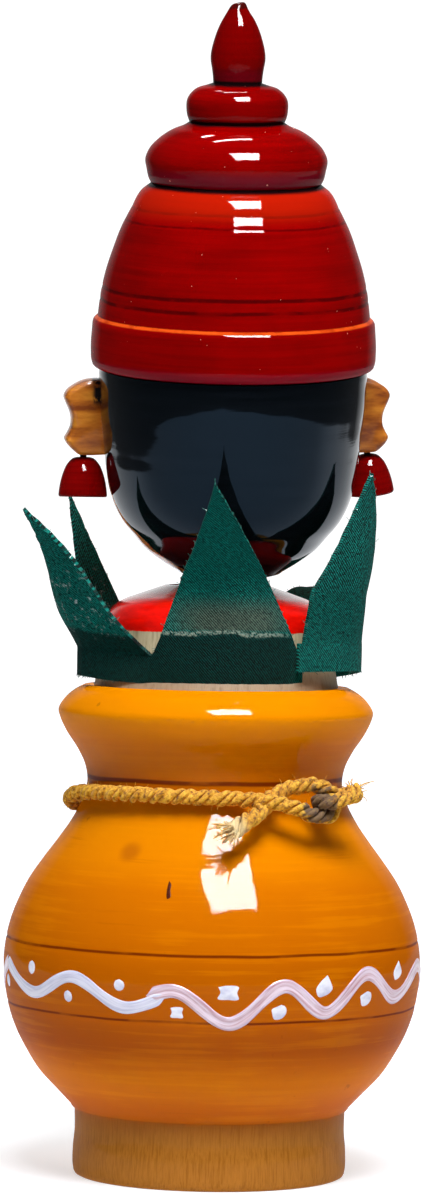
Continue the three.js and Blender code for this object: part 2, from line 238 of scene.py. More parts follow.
# ---------- materials ----------
def rgb(red, green, blue):
    """A colour given in display values from 0 to 255."""
    shares = [c / 255 for c in (red, green, blue)]
    return tuple(c / 12.92 if c <= 0.04045 else ((c + 0.055) / 1.055) ** 2.4 for c in shares) + (1,)


class Finish:
    """A procedural material while its nodes are put together. Sizes are in mm."""

    def __init__(self, name, **constants):
        self.material = bpy.data.materials.new(name)
        self.material.use_nodes = True
        self.tree = self.material.node_tree
        self.shader = self.tree.nodes["Principled BSDF"]
        self.coords = self.tree.nodes.new("ShaderNodeTexCoord")
        for socket, value in constants.items():
            self.set(socket.replace("_", " "), value)

    def set(self, socket, value):
        self.connect(self.shader.inputs[socket], value)

    def connect(self, socket, value):
        if isinstance(value, bpy.types.NodeSocket):
            self.tree.links.new(value, socket)
        else:
            socket.default_value = value

    def add(self, kind, inputs, **settings):
        node = self.tree.nodes.new(kind)
        for key, value in settings.items():
            setattr(node, key, value)
        for key, value in inputs.items():
            self.connect(node.inputs[key], value)
        return node

    def place(self, per_mm, source="Object"):
        """Texture coordinates with so many cells in each mm along X, Y and Z, or along all three."""
        per_mm = per_mm if isinstance(per_mm, tuple) else (per_mm,) * 3
        scale = [1000 * s if source == "Object" else s for s in per_mm]
        node = self.add("ShaderNodeMapping", {"Vector": self.coords.outputs[source], "Scale": scale})
        return node.outputs[0]

    def noise(self, per_mm, detail=3, rough=0.55, source="Object"):
        cells = self.place(per_mm, source)
        inputs = {"Vector": cells, "Scale": 1.0, "Detail": detail, "Roughness": rough}
        return self.add("ShaderNodeTexNoise", inputs).outputs["Fac"]

    def axis(self, name, source="Object"):
        """One coordinate, in mm for Object coordinates."""
        split = self.add("ShaderNodeSeparateXYZ", {"Vector": self.coords.outputs[source]})
        scale = 1000 if source == "Object" else 1
        return self.times(split.outputs[name], scale)

    def math(self, operation, a, b=0.0):
        return self.add("ShaderNodeMath", {0: a, 1: b}, operation=operation).outputs[0]

    def times(self, first, *others):
        for other in others:
            first = self.math("MULTIPLY", first, other)
        return first

    def plus(self, a, b):
        return self.math("ADD", a, b)

    def away_from(self, point):
        """The distance in mm from a point."""
        inputs = {0: self.place(1), 1: point.tolist()}
        return self.add("ShaderNodeVectorMath", inputs, operation="DISTANCE").outputs["Value"]

    def remap(self, value, low, high, out_low=0.0, out_high=1.0):
        inputs = {"Value": value, "From Min": low, "From Max": high, "To Min": out_low, "To Max": out_high}
        node = self.add("ShaderNodeMapRange", inputs, interpolation_type="SMOOTHSTEP")
        return node.outputs[0]

    def drift(self, per_mm, reach, detail=3):
        """A wander of at most that reach either side of 0."""
        return self.remap(self.noise(per_mm, detail), 0, 1, -reach, reach)

    def ramp(self, value, *stops):
        node = self.add("ShaderNodeValToRGB", {"Fac": value})
        ends = node.color_ramp.elements
        while len(ends) < len(stops):
            ends.new(0.5)
        for end, (position, colour) in zip(ends, stops):
            end.position, end.color = position, colour
        return node.outputs[0]

    def mix(self, share, a, b):
        node = self.add("ShaderNodeMix", {0: share, 6: a, 7: b}, data_type="RGBA")
        return node.outputs[2]

    def line_at(self, height, level, width, raggedness=None):
        """1 on a thin line at that level of a coordinate, 0 away from it."""
        away = self.math("ABSOLUTE", self.math("SUBTRACT", height, level))
        line = self.remap(away, width, 0.35 * width)
        return self.times(line, raggedness) if raggedness else line

    def bump(self, height, depth_mm, socket="Normal"):
        inputs = {"Height": height, "Distance": depth_mm * MM, "Strength": 1.0}
        self.set(socket, self.add("ShaderNodeBump", inputs).outputs[0])


def lacquer_relief(finish, depth):
    """Fine tool rings under the lacquer, and a slightly uneven coat."""
    rings = finish.noise((0.03, 0.03, 2.6), 4, 0.6)
    pits = finish.noise(0.5, 2, 0.5)
    finish.bump(finish.plus(rings, pits), depth * 2)
    coat = finish.plus(finish.noise((0.16, 0.16, 1.5), 2), finish.noise((0.45, 0.45, 0.4), 1))
    finish.bump(coat, depth, "Coat Normal")


def wood_grain(finish, dark, light, per_mm):
    grain = finish.noise(per_mm, 5, 0.65)
    return finish.ramp(finish.remap(grain, 0.3, 0.7), (0.0, dark), (0.55, light), (1.0, dark))


def tool_marks(finish, streaks, clouds):
    """Lacquer rubbed on as the piece turned: fine streaks over broad clouds."""
    return finish.plus(finish.times(streaks, 0.6), finish.times(clouds, 0.5))


# The orange steps by height in bands: [height, red, green]. Painted lines are [height, width].
# The top line, on the neck just above the rope, is painted shadow of the rope.
POT_LINES = ((61.3, 0.5), (36.5, 0.3), (26.6, 0.26))
LINE_DEPTH = 0.85
THUMB_MARK = around(-31, 24.3, 51)
POT_BANDS_FROM = 10
POT_BANDS_OVER = 50
# The bands are partly the lacquer's own and partly painted shade, darker round the lower belly.
POT_BANDS = [
    (10.4, 184, 88), (12.6, 194, 95), (15, 206, 108), (17.3, 210, 112), (19.6, 194, 96),
    (22, 170, 77), (24.5, 174, 82), (26.8, 182, 89), (34, 180, 90), (36.8, 188, 96), (41, 194, 101),
    (45.5, 200, 106), (50, 214, 122), (54.5, 216, 126), (60, 208, 114),
]


def pot_finish():
    f = Finish("pot_lacquer", Coat_Weight=0.13, Coat_Roughness=0.03, Specular_IOR_Level=0.0)
    z = f.axis("Z")
    level = f.plus(z, f.drift(0.05, 0.25, 2))
    tone = tool_marks(f, f.noise((0.035, 0.035, 1.1), 5, 0.6), f.noise((0.05, 0.05, 0.09)))
    up_the_pot = f.times(f.math("SUBTRACT", level, POT_BANDS_FROM), 1 / POT_BANDS_OVER)
    stops = [((h - POT_BANDS_FROM) / POT_BANDS_OVER, rgb(r, g, 0)) for h, r, g in POT_BANDS]
    orange = f.ramp(up_the_pot, *stops)
    orange = f.mix(f.remap(tone, 0.54, 0.66, 0, 0.22), orange, rgb(232, 138, 0))
    orange = f.mix(f.remap(tone, 0.46, 0.36, 0, 0.3), orange, rgb(156, 70, 0))
    # The neck is darker: partly the lacquer's own tone, partly painted shade in its hollow.
    neck = f.times(f.remap(z, 54, 60), f.remap(z, 70, 64))
    orange = f.mix(f.times(neck, 0.34), orange, rgb(150, 74, 4))
    # Painted light: the flaring rim is lighter where it faces up.
    rim = f.remap(z, 66, 71)
    orange = f.mix(f.times(rim, 0.6), orange, rgb(234, 142, 0))
    broken = f.remap(f.noise((0.12, 0.12, 0.4)), 0.3, 0.5, 0.45, 1)
    for line, width in POT_LINES:
        mark = f.line_at(level, line, width, broken)
        orange = f.mix(f.times(mark, LINE_DEPTH), orange, rgb(98, 22, 2))
    blot = f.remap(f.noise(0.35), 0.7, 0.78)
    orange = f.mix(f.times(blot, 0.4), orange, rgb(120, 50, 10))
    thumb = f.remap(f.away_from(THUMB_MARK), 2.4, 0.6, 0, 0.5)
    orange = f.mix(thumb, orange, rgb(150, 70, 10))
    wood = wood_grain(f, rgb(148, 92, 27), rgb(174, 111, 39), (2.6, 2.6, 0.14))
    seam = f.plus(z, f.drift(0.3, 0.35))
    wood = f.mix(f.times(f.remap(seam, 7, 10.4), 0.5), wood, rgb(160, 84, 20))
    painted = f.remap(seam, 9.6, 10.8)
    f.set("Base Color", f.mix(painted, wood, orange))
    f.set("Roughness", f.remap(painted, 0, 1, 0.42, 0.24))
    lacquer_relief(f, 0.012)
    return f.material


def red_finish(name, dark, light, lines=(), black=(), orange_edge=None, tip=None, shading_bands=()):
    """Red lacquer. Lines are [height, width, strength], and shading_bands [fade in, fade out, share,
    colour] are painted light and shade.
    """
    f = Finish(name, Coat_Weight=0.17, Coat_Roughness=0.02, Roughness=0.4, Specular_IOR_Level=0.0)
    z = f.axis("Z")
    level = f.plus(z, f.drift(0.06, 0.3, 2))
    tone = tool_marks(f, f.noise((0.04, 0.04, 1.3), 4, 0.6), f.noise((0.07, 0.07, 0.1)))
    red = f.ramp(tone, (0.36, dark), (0.66, light))
    for height, width, strength in lines:
        broken = f.remap(f.noise((0.2, 0.2, 0.5), 2), 0.3, 0.55, 0.3, 1)
        mark = f.line_at(level, height, width, broken)
        red = f.mix(f.times(mark, strength), red, rgb(62, 0, 2))
    for height, width in black:
        red = f.mix(f.line_at(level, height, width), red, rgb(20, 6, 8))
    # An orange line round the top edge at that height, fainter in places.
    if orange_edge:
        line_breaks = f.remap(f.noise((0.3, 0.3, 0.6), 4), 0.3, 0.6, 0.45, 1)
        orange_line = f.line_at(z, orange_edge, 0.3, line_breaks)
        red = f.mix(f.times(orange_line, 0.9), red, rgb(226, 84, 22))
    # Painted light and shade, in bands of height.
    for bottom, top, strength, shading_colour in shading_bands:
        band = f.times(f.remap(z, *bottom), f.remap(z, *top))
        red = f.mix(f.times(band, strength), red, shading_colour)
    if tip:
        red = f.mix(f.remap(z, tip - 10, tip - 5, 0, 0.45), red, rgb(74, 0, 0))
        chips = f.times(f.remap(z, tip, tip + 1.4), f.noise(1.2))
        red = f.mix(f.remap(chips, 0.36, 0.5, 0, 0.8), red, rgb(46, 12, 10))
    specks = f.remap(f.noise(1.5, 1), 0.785, 0.81)
    red = f.mix(f.times(specks, 0.8), red, rgb(236, 150, 130))
    f.set("Base Color", red)
    lacquer_relief(f, 0.004)
    return f.material


def plug_finish():
    f = Finish("plug_wood", Specular_IOR_Level=0.15)
    z = f.axis("Z")
    grain = f.noise((1.4, 1.4, 0.09), 5, 0.7)
    wood = f.ramp(grain, (0.3, rgb(150, 134, 100)), (0.52, rgb(196, 182, 148)), (0.7, rgb(168, 150, 112)))
    # The wood is darker low down, towards the pot's mouth under the felt's hem.
    darker_low = f.times(f.remap(z, 79, 76), 0.5)
    wood = f.mix(darker_low, wood, rgb(120, 92, 78))
    painted = f.remap(f.plus(z, f.drift(0.5, 0.15, 2)), 83.75, 83.9)
    streaks = f.noise((0.25, 0.25, 0.8))
    red = f.ramp(streaks, (0.35, rgb(206, 6, 0)), (0.65, rgb(238, 12, 0)))
    # Painted shade: the dome darkens towards the spring, under the overhanging head.
    red = f.mix(f.remap(z, 87.6, 89.2, 0, 0.7), red, rgb(96, 0, 0))
    f.set("Base Color", f.mix(painted, wood, red))
    f.set("Roughness", f.remap(painted, 0, 1, 0.6, 0.22))
    f.set("Coat Weight", f.times(painted, 0.5))
    f.bump(grain, 0.03)
    return f.material


SKIN_DARK, SKIN_LIGHT = rgb(211, 130, 66), rgb(223, 143, 77)


def head_finish():
    """Black hair behind and skin in front. The seam runs down the sides and over the brow."""
    f = Finish("head_lacquer", Roughness=0.05, Specular_IOR_Level=0.33)
    f.set("Specular Tint", rgb(150, 196, 236))
    y, z = f.axis("Y"), f.axis("Z")
    uneven = f.drift(0.16, 0.7)
    seam = f.plus(f.remap(z, 2, 18, 5.8, -0.8), uneven)
    skin_side = f.remap(f.plus(y, seam), -0.1, 0.1)
    brow_line = f.plus(f.times(f.math("ABSOLUTE", f.axis("X")), -0.28), 31.2)
    below_hair = f.remap(f.math("SUBTRACT", f.plus(brow_line, uneven), z), -0.1, 0.1)
    blush = f.noise((0.08, 0.08, 0.5), 4)
    skin = f.ramp(blush, (0.35, SKIN_DARK), (0.65, SKIN_LIGHT))
    black = f.ramp(f.noise((0.05, 0.05, 0.8), 4), (0.35, rgb(5, 7, 9)), (0.65, rgb(11, 14, 18)))
    f.set("Base Color", f.mix(f.times(skin_side, below_hair), black, skin))
    rings = f.noise((0.02, 0.02, 0.9))
    dust = f.noise(2.2, 1)
    f.bump(f.plus(rings, f.times(dust, 0.15)), 0.0035)
    return f.material


def ear_finish():
    """Amber lacquer, with black from the hair smeared on the root of the ear."""
    f = Finish("ear_lacquer", Coat_Weight=0.4, Coat_Roughness=0.05, Specular_IOR_Level=0.1)
    grain = f.noise((0.2, 0.2, 0.7), 4, 0.5)
    amber = f.ramp(grain, (0.34, rgb(128, 58, 2)), (0.52, rgb(182, 102, 16)), (0.7, rgb(208, 132, 34)))
    reach = f.math("ABSOLUTE", f.axis("X"))
    smear = f.times(f.remap(reach, 21.4, 20.7), f.remap(f.axis("Z"), 25.6, 26.6))
    ragged = f.times(smear, f.remap(f.noise(0.9), 0.3, 0.45))
    f.set("Base Color", f.mix(ragged, amber, rgb(12, 10, 10)))
    f.bump(grain, 0.02)
    f.bump(f.noise((0.4, 0.4, 0.6), 2), 0.03, "Coat Normal")
    return f.material


def paint_finish(name, dark, light, per_mm=(0.5, 0.5, 2.5), gloss=0.35, source="Object", coat=0.3):
    f = Finish(name, Roughness=gloss, Coat_Weight=coat, Coat_Roughness=0.15, Specular_IOR_Level=coat)
    strokes = f.noise(per_mm, 4, 0.6, source)
    f.set("Base Color", f.ramp(strokes, (0.34, dark), (0.58, light)))
    f.bump(strokes, 0.03)
    return f.material


def felt_finish():
    """Twill felt. The UV map holds the flat cloth in mm: U along the strip, V up the leaf."""
    f = Finish("felt_twill", Roughness=0.9, Sheen_Weight=0.03, Sheen_Roughness=0.45)
    f.set("Specular IOR Level", 0.04)
    f.set("Sheen Tint", rgb(120, 176, 164))
    uv = f.coords.outputs["UV"]
    turn = f.add("ShaderNodeMapping", {"Vector": uv, "Rotation": (0, 0, math.radians(38))})
    ribs = f.add(
        "ShaderNodeTexWave",
        {"Vector": turn.outputs[0], "Scale": 1.0, "Distortion": 1.6, "Detail": 2.0, "Detail Scale": 2.2},
    ).outputs["Fac"]
    threads = f.noise(2.1, 2, 0.7, "UV")
    cloudy = f.noise(0.25, 3, 0.6, "UV")
    weave = f.plus(f.times(ribs, 0.3), f.times(threads, 0.7))
    green = f.ramp(weave, (0.38, rgb(0, 22, 20)), (0.5, rgb(0, 56, 51)), (0.62, rgb(10, 126, 114)))
    green = f.mix(f.times(f.remap(cloudy, 0.3, 0.7), 0.3), green, rgb(0, 60, 56))
    u, v = f.axis("X", "UV"), f.axis("Y", "UV")
    ripple = f.remap(f.noise(0.12, 2, 0.5, "UV"), 0, 1, -1.1, 1.1)
    height = f.plus(v, ripple)
    # The band is darker under the back leaf and round to its left: painted shade under the leaves that lean
    # out over it.
    band_shade = f.times(f.remap(height, 8.2, 7.4), f.remap(u, -2, 4), f.remap(u, 56, 40))
    shaded_threads = f.ramp(weave, (0.42, rgb(0, 4, 4)), (0.58, rgb(0, 48, 44)))
    green = f.mix(f.times(band_shade, 0.92), green, shaded_threads)
    # The back leaf has a painted sheen at its root, grey-brown over the twill, with a pale crease below.
    root = f.times(f.remap(v, 8.0, 8.8), f.remap(v, 14.5, 10.5), f.remap(u, 0, 8), f.remap(u, 23, 15))
    root_sheen = f.times(root, f.remap(weave, 0.3, 0.75, 0.05, 0.62))
    green = f.mix(root_sheen, green, rgb(104, 78, 60))
    crease = f.times(f.line_at(height, 8.0, 0.42), f.remap(u, 2, 6), f.remap(u, 24, 20))
    crease = f.times(crease, f.remap(threads, 0.4, 0.6, 0, 0.6))
    green = f.mix(crease, green, rgb(160, 166, 150))
    # Smears of dried glue lie on the two leaves to the left.
    spots = f.remap(f.noise(0.75, 4, 0.7, "UV"), 0.56, 0.7)
    across = f.times(f.remap(u, 22, 28), f.remap(u, 66, 58))
    up = f.times(f.remap(v, 6, 9), f.remap(v, 20, 13))
    green = f.mix(f.times(spots, across, up, 0.8), green, rgb(168, 186, 184))
    f.set("Base Color", green)
    f.bump(weave, 0.16)
    return f.material


def jute_finish():
    """Jute, pale where the long tail is cut, and dark in the knot."""
    f = Finish("jute", Roughness=0.85, Sheen_Weight=0.08, Sheen_Roughness=0.5, Specular_IOR_Level=0.15)
    fibres = f.noise(1.7, 4, 0.65)
    straw = f.ramp(fibres, (0.34, rgb(118, 70, 6)), (0.46, rgb(200, 138, 14)), (0.64, rgb(234, 184, 54)))
    pale = f.remap(f.away_from(around(*LONG_TAIL[0])), 3.2, 1.4, 0, 0.7)
    straw = f.mix(pale, straw, rgb(226, 212, 168))
    dark = f.plus(f.away_from(KNOT_MIDDLE), f.drift(0.7, 1.6))
    singed = f.remap(dark, 3.4, 2.4, 0, 0.85)
    f.set("Base Color", f.mix(singed, straw, rgb(74, 58, 52)))
    f.bump(f.noise(3.5, 3, 0.7), 0.08)
    return f.material


def steel_finish():
    f = Finish("spring_steel", Metallic=1.0)
    drawn = f.noise((1.5, 1.5, 6.0))
    f.set("Base Color", f.ramp(drawn, (0.35, rgb(28, 26, 25)), (0.65, rgb(58, 52, 48))))
    f.set("Roughness", f.remap(drawn, 0.3, 0.7, 0.35, 0.6))
    f.bump(drawn, 0.01)
    return f.material


# ---------- rope: one twisted cord, from its long tail through the knot and round the neck ----------
# Each entry of a route is [angle from the back, r, z].
KNOT_MIDDLE = around(36.5, 26.6, 58.4)
STRAND_OFFSET, YARN_OFFSET, YARN_R = 0.62, 0.24, 0.46
STRAND_LAY, YARN_LAY = 5.2, 4.2
LONG_TAIL = [(5.5, 27, 54.9), (10.5, 26.2, 56.1), (15, 25, 57.2)]
FIRST_WRAP = [
    (19, 23.3, 58.2), (23.5, 21.9, 59.6), (28.5, 21.9, 60.5), (33.5, 22.9, 61.1),
    (38.5, 24.1, 61.3), (42.6, 24.9, 60.7), (44.8, 25.3, 59.3), (44, 25.7, 57.7), (41.3, 26, 56.9),
    (37, 26.1, 56.8), (33, 26, 57.2), (29.5, 25.6, 57.9), (25, 25.1, 58.5), (20, 24.3, 58.9),
    (14, 22.9, 59.1), (8, 21.8, 59.2),
]
ROPE_LOOP = [
    (0, 21.5, 59.3), (-20, 21.5, 59.4), (-40, 21.5, 59.4), (-60, 21.5, 59.2), (-78, 21.7, 58.6),
    (-94, 22.2, 57.4), (-110, 22.8, 56.4), (-130, 23.2, 55.8), (-155, 23.2, 55.8),
    (-180, 22.9, 56.2), (-205, 22.5, 56.8), (-230, 22.1, 57.6), (-255, 21.8, 58.3),
    (-278, 21.6, 58.9), (-298, 21.7, 59.2),
]
LAST_TUCK = [(-304, 22, 59.1), (-311, 22.6, 59), (-317.5, 23.8, 58.9), (-322, 25.4, 58.9)]
SHORT_TAIL = [(-322, 27.2, 58.9), (-318, 28.2, 59.3), (-313.5, 28, 59.9), (-310, 27.4, 60.4)]


def rope_line(step):
    route = LONG_TAIL + FIRST_WRAP + ROPE_LOOP + LAST_TUCK + SHORT_TAIL
    return curve([around(*entry) for entry in route], step)


def rope_strands(line):
    """Three strands laid round the line, each of two yarns twisted together."""
    _, n, b = frames(line)
    place = travelled(line)
    open_end = 1 + 0.45 * smoothstep(place, 5, 0) + 0.3 * smoothstep(place, place[-1] - 3, place[-1])
    strands = []
    for k in range(3):
        phase = TURN * (place / STRAND_LAY + k / 3)
        across, deep = STRAND_OFFSET * np.sin(phase), STRAND_OFFSET * np.cos(phase)
        for yarn in (0, 0.5):
            twist = TURN * (yarn + k / 3 - place / YARN_LAY)
            x = (across + YARN_OFFSET * np.cos(twist)) * open_end
            y = (deep + YARN_OFFSET * np.sin(twist)) * (0.5 + 0.5 * open_end)
            strand = line + b * y[:, None] + n * x[:, None]
            thickness = YARN_R + 0.03 * np.sin(place * 1.7 + k * 2 + yarn * 5)
            strands.append((strand, thickness))
    return strands


def loose_fibre(start, direction, length, curl, steps=5):
    """A thin fibre that starts on a surface and bends as it goes."""
    t = np.linspace(0, 1, steps)[:, None]
    bend = np.cross(direction, [random.uniform(-1, 1) for _ in range(3)])
    return start + direction * length * t + bend * curl * length * t**2


def unit(v):
    return v / np.linalg.norm(v)


def fan(middle, axis, count, spread, lengths, radius):
    """Cut yarns that splay out from the end of a cord."""
    fibres = []
    for _ in range(count):
        side = unit(np.cross(axis, [random.uniform(-1, 1) for _ in range(3)]))
        start = middle + side * random.uniform(0.1, 1.1) - axis * 0.6
        heading = unit(axis + side * random.uniform(0, spread))
        length = random.uniform(*lengths)
        taper = np.linspace(1, 0.35, 5) * radius * random.uniform(0.6, 1.2)
        fibres.append((loose_fibre(start, heading, length, 0.35), taper))
    return fibres


ROPE_HAIRS = 420
HAIR_R = 0.026


def rope_fray(line):
    """Short hairs along the rope, and the frayed yarns of its two ends."""
    tangent, n, b = frames(line)
    fibres = []
    for _ in range(ROPE_HAIRS):
        i = random.randrange(6, len(line) - 6)
        a = random.uniform(0, TURN)
        out = n[i] * math.cos(a) + b[i] * math.sin(a)
        sway = tangent[i] * random.uniform(-1.2, 1.2)
        start = line[i] + out * 1.15
        hair = loose_fibre(start, unit(out + sway), random.uniform(0.3, 1.0), 0.5)
        fibres.append((hair, HAIR_R))
    fibres += fan(line[0], -tangent[0], 46, 1.1, (1.4, 3.6), 0.2)
    fibres += fan(line[-1], unit(tangent[-1] + n[-1] * 0.2), 34, 0.9, (1.0, 3.2), 0.13)
    return fibres


add_camera()
JUTE = jute_finish()
line = rope_line(0.25)
rope = bundle("jute_rope", rope_strands(line), JUTE, 7)
fray = bundle("rope_fray", rope_fray(line), JUTE, 4)
for part in (rope, fray):
    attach(part, "pot_body")
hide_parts("rope_loop", "rope_knot", "rope_tail_long", "rope_tail_short")


# ---------- pot ----------
# Sides and runs of turned pieces list points as [r, z].
POT_SIDE = [
    (21.5, 10.9), (23.6, 13.1), (26.4, 16.1), (28.4, 19.2), (30, 22.3), (31.1, 25.4), (31.75, 28.8),
    (32.05, 32.3), (31.75, 36), (31, 39.2), (29.8, 42.3), (28.3, 45.3), (26.2, 48.4), (23.9, 51.5),
    (21.8, 54.6), (20.3, 57.6), (19.6, 60.7), (20, 63), (21.1, 65.3), (23.1, 68.4), (24, 70.4),
    (24.2, 71.2), (23.3, 73), (21.6, 74.5), (20.3, 75.2),
]
POT_RUNS = [
    [(0, 0.3), (12, 0.2), (18.5, 0)],
    [(20.3, 0)],
    [(20.75, 0.25), (20.9, 0.8), (21, 3.8), (20.75, 6.9), (20.8, 10.2)],
    [(21.15, 10.35), POT_SIDE[0]],
    POT_SIDE[1:],
    [(18.2, 75.2)],
    [(17.85, 75.1), (17.7, 74.8), (17.7, 66.2)],
    [(0, 66.2)],
]
POT_GROOVES = ((36.5, 0.1, 0.24), (26.6, 0.08, 0.22))
POT = turned("pot_turning", POT_RUNS, pot_finish(), 160, 0.4, POT_GROOVES)
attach(POT, "pot_body")
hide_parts("pot")

side_line = curve(POT_SIDE, 0.2)


def on_pot(angle, z, lift):
    """A point lifted off the pot's side, at a compass angle and a height."""
    nearest = int(np.argmin(np.abs(side_line[:, 1] - z)))
    i = min(max(nearest, 1), len(side_line) - 2)
    r = float(np.interp(z, side_line[:, 1], side_line[:, 0]))
    d = unit(side_line[i + 1] - side_line[i - 1])
    return around(angle, r + lift * d[1], z - lift * d[0])


# ---------- white paint on the pot ----------
# Crests and troughs of the brush lines: [angle from the back, height]. The far waves close the ring.
LEFT_STROKE = [(-75, 33.1), (-56.4, 29.4), (-41, 32.5), (-22.4, 28.5), (-16.8, 29.4), (-11.6, 30.9)]
RIGHT_STROKE = [
    (-17.6, 30.4), (-11, 31.3), (5, 26.5), (20.3, 32.1), (32.1, 27.9), (47.1, 33.4), (59, 29.4),
    (78.6, 33.3),
]
FAR_WAVES = 12
FAR_FROM = RIGHT_STROKE[-1][0]
FAR_STEP = (360 + LEFT_STROKE[0][0] - FAR_FROM) / FAR_WAVES
WAVE_R = 32
DOT_R = 31


def stroke(name, route, width, profile, tapers, material):
    """A band of paint swept along a route on the pot. profile lists [share across, lift]."""
    arc, step = math.radians(WAVE_R), 0.3
    flat = curve([(a * arc, z) for a, z in route], step)
    heading, normal = across_of(flat)
    place = np.linspace(0, 1, len(flat)) * step * len(flat)
    start, end = tapers
    swell = smoothstep(place, -0.3, start) * (1 - smoothstep(place, place[-1] - end, place[-1] + 0.3))
    points = []
    for p, n, h, s, i in zip(flat, normal, heading, swell, place):
        wide = width * (0.8 + 0.2 * abs(h[0])) * s * (1 + 0.05 * math.sin(i * 0.9))
        for share, lift in profile:
            q = p + n * share * wide
            points.append(on_pot(q[0] / arc, q[1], lift if lift < 0 else lift * min(1, 0.3 + s)))
    made = mesh_object(name, points, grid_faces(len(flat), len(profile)), material)
    lay_out(made, "along_and_across", [(along, share * width) for along in place for share, _ in profile])
    return made


PATCH_RINGS = 4
PATCH_SUNK = -0.03


def patch(outline, spot, height=0.1):
    """A low dome of paint: outline points round a middle, laid on a surface by spot(x, z, lift)."""
    outline = np.array(outline, float)
    middle = outline.mean(axis=0)
    points = [spot(*middle, height)]
    for share in np.linspace(0, 1, PATCH_RINGS + 1)[1:]:
        lift = height * (1 - share**4) + PATCH_SUNK * share**4
        points += [spot(*(middle + (p - middle) * share), lift) for p in outline]
    count = len(outline)
    faces = [(0, 1 + j, 1 + (j + 1) % count) for j in range(count)]
    faces += grid_faces(PATCH_RINGS, count, 1, wrap=True)
    return points, faces


def closed_outline(points):
    return curve(list(points) + [points[0]], 0.12)[:-1]


# Brushed dots, as outlines in a square from -1 to 1.
BLOBS = {
    "oval": [(0, 1), (0.75, 0.6), (1, 0), (0.7, -0.7), (0, -1), (-0.8, -0.6), (-1, 0.1), (-0.7, 0.7)],
    "square": [(-1, 0.8), (0, 1), (1, 0.75), (0.85, 0), (1, -0.9), (0, -1), (-1.05, -0.8), (-0.8, 0)],
    "gem": [(0.3, 1), (0.9, 0.7), (1, -0.3), (0.5, -0.9), (-0.6, -1), (-0.9, -0.2), (-1, 0.3), (-0.4, 0.7)],
    "leaf": [(0.35, 1.1), (0.8, 0.3), (1, -0.3), (0.2, -1), (-0.7, -1.1), (-1, -0.3), (-0.5, 0.4)],
}


def blob(kind, angle, z, wide, tall):
    arc = 1 / math.radians(DOT_R)
    outline = [(x * wide / 2, y * tall / 2) for x, y in BLOBS[kind]]
    return patch(closed_outline(outline), lambda x, y, lift: on_pot(angle + x * arc, z + y, lift))


far_route = [(FAR_FROM + FAR_STEP * i, 28.9 if i % 2 else 33.2) for i in range(1, FAR_WAVES + 1)]
PLAIN_PAINT = [(-0.5, -0.04), (-0.45, 0.06), (-0.3, 0.1), (0, 0.07), (0.3, 0.1), (0.45, 0.06), (0.5, -0.04)]
STREAKED_PAINT = [
    (-0.5, -0.04), (-0.45, 0.07), (-0.28, 0.11), (-0.1, 0.04), (0.02, 0.005), (0.12, 0.05),
    (0.3, 0.1), (0.45, 0.06), (0.5, -0.04),
]
WHITE = paint_finish("white_paint", rgb(196, 196, 220), rgb(232, 232, 244), (0.4, 0.4, 0.6))
BRUSHED = (0.12, 2.2, 1)
LAVENDER = paint_finish("lavender_paint", rgb(186, 186, 214), rgb(226, 226, 242), BRUSHED, source="UV")
PINK_WHITE = paint_finish("streaked_paint", rgb(180, 130, 140), rgb(228, 210, 224), BRUSHED, source="UV")
left_wave = stroke("wave_left", LEFT_STROKE, 1.95, PLAIN_PAINT, (0.1, 2.4), LAVENDER)
right_route = RIGHT_STROKE + far_route
right_wave = stroke("wave_right", right_route, 2.15, STREAKED_PAINT, (1.6, 0.1), PINK_WHITE)
# Dots: [kind, angle from the back, height, how wide, how tall].
DOTS = [
    ("oval", -75.7, 30.2, 1.9, 2.1), ("oval", -57.9, 33.1, 2.0, 2.2),
    ("oval", -42.3, 29.5, 1.7, 1.9), ("oval", -25.4, 31.8, 1.8, 1.9),
    ("square", -9.3, 28.1, 2.0, 1.8), ("square", 4.5, 31.2, 3.2, 2.3),
    ("gem", 18.4, 28.3, 2.4, 2.3), ("leaf", 31.6, 32, 3.0, 3.1), ("gem", 46.4, 29.7, 2.5, 2.3),
    ("leaf", 61.2, 33.4, 2.8, 2.7),
]
far_dots = [
    (("oval", "gem", "leaf")[i % 3], FAR_FROM + FAR_STEP * i, 33 if i % 2 else 29.2, 2.1, 2.1)
    for i in range(1, FAR_WAVES)
]
dots = joined("painted_dots", [blob(*dot) for dot in DOTS + far_dots], WHITE)
NICK_SHAPE = [(-0.2, 1.5), (0.25, 1), (0.3, 0), (0.4, -1.3), (0.1, -1.5), (-0.3, 0)]
NICK_ANGLE, NICK_Z = -13.7, 45.9
NICK_DEGREES_PER_MM = 2.1
NICK = paint_finish("chipped_wood", rgb(50, 12, 2), rgb(84, 26, 4), gloss=0.9, coat=0.02)


def on_nick(x, y, lift):
    return on_pot(NICK_ANGLE + x * NICK_DEGREES_PER_MM, NICK_Z + y, lift)


nick_patch = patch(closed_outline(NICK_SHAPE), on_nick, height=0.05)
nick = joined("lacquer_nick", [nick_patch], NICK)
for part in (left_wave, right_wave, dots, nick):
    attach(part, "pot_body")


# ---------- shoulder plug ----------
PLUG_RUNS = [
    [(0, 66.5), (17.1, 66.5)],
    [(17.4, 66.8), (17.4, 83.7)],
    [
        (17.42, 83.9), (17.35, 84.6), (17.1, 85.6), (16.1, 87.2), (14.4, 88.4),
        (12.3, 89.2), (10.3, 89.9), (8, 90.7),
    ],
    [(7.6, 90.7), (7.5, 90.3), (7.5, 85.2)],
    [(0, 85.2)],
]
plug = turned("shoulder_turning", PLUG_RUNS, plug_finish(), 128, 0.4)
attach(plug, "pot_body")
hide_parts("shoulder_plug")


# ---------- neck spring, bent by the head's lean ----------
HEAD_LEAN, HEAD_YAW = math.radians(8.5), math.radians(10)
HEAD_X, HEAD_Z = 1.8, 92.5
SPRING_FROM, SPRING_TO = 85.95, 98.6
BEND_FROM, BEND_TO, SHIFT_TO = 88, 94, 96
SPRING_TURNS, POINTS_PER_TURN = 10, 36
SPRING_R, WIRE_R = 6.2, 0.4


